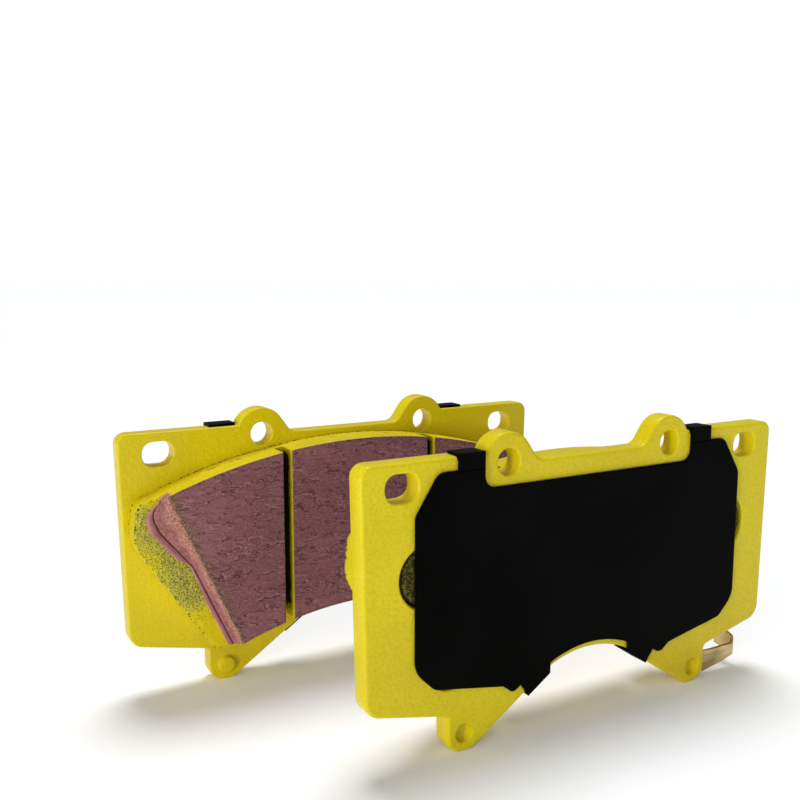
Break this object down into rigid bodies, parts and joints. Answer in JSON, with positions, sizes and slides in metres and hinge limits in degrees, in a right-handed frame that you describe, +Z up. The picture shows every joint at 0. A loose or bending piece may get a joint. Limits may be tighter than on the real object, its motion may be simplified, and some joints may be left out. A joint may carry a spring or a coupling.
{
  "type": "disc brake pad pair",
  "caption": "Pair of disc brake pads facing each other across a disc gap, with steel backing plates, friction blocks, folded noise shims and a wear indicator; one pad slides to close the gap.",
  "frame": {"origin": "on the floor that the pads stand on, midway between the two pads and in the middle of the pair's width", "axes": "+Z up, +X along the pads' width, +Y from the front pad towards the rear pad, square to both friction faces"},
  "size_m": [0.168, 0.074, 0.0766],
  "materials": {
    "plate_powder_coat": "yellow powder coat, fine orange peel, satin",
    "painted_moulding": "yellow powder coat over rough moulded friction material",
    "friction_material": "pressed friction material, matt",
    "bedding_coat": "maroon abrasive bedding coat, matt, finely rippled",
    "shim_glue": "thin adhesive film",
    "shim_steel": "satin black coated sheet steel",
    "shim_rubber": "smooth black rubber facing, satin",
    "spring_steel": "brass-plated spring steel, brushed lengthways"
  },
  "bodies": {
    "front_pad": {"front_backing_plate": "plate_powder_coat", "front_underlayer": "painted_moulding", "front_friction_block_left": "friction_material", "front_friction_block_middle": "friction_material", "front_friction_block_right": "friction_material", "front_bedding_coat_left": "bedding_coat", "front_bedding_coat_middle": "bedding_coat", "front_bedding_coat_right": "bedding_coat", "front_shim_glue_film": "shim_glue", "front_shim_steel": "shim_steel", "front_shim_rubber": "shim_rubber", "front_wear_indicator": "spring_steel"},
    "rear_pad": {"rear_backing_plate": "plate_powder_coat", "rear_underlayer": "painted_moulding", "rear_friction_block_left": "friction_material", "rear_friction_block_middle": "friction_material", "rear_friction_block_right": "friction_material", "rear_bedding_coat_left": "bedding_coat", "rear_bedding_coat_middle": "bedding_coat", "rear_bedding_coat_right": "bedding_coat", "rear_shim_glue_film": "shim_glue", "rear_shim_steel": "shim_steel", "rear_shim_rubber": "shim_rubber"}
  },
  "joints": [
    {"name": "pad_squeeze", "type": "slide", "parent": "front_pad", "child": "rear_pad", "axis": [0, -1, 0], "range_m": [0, 0.0108]}
  ]
}
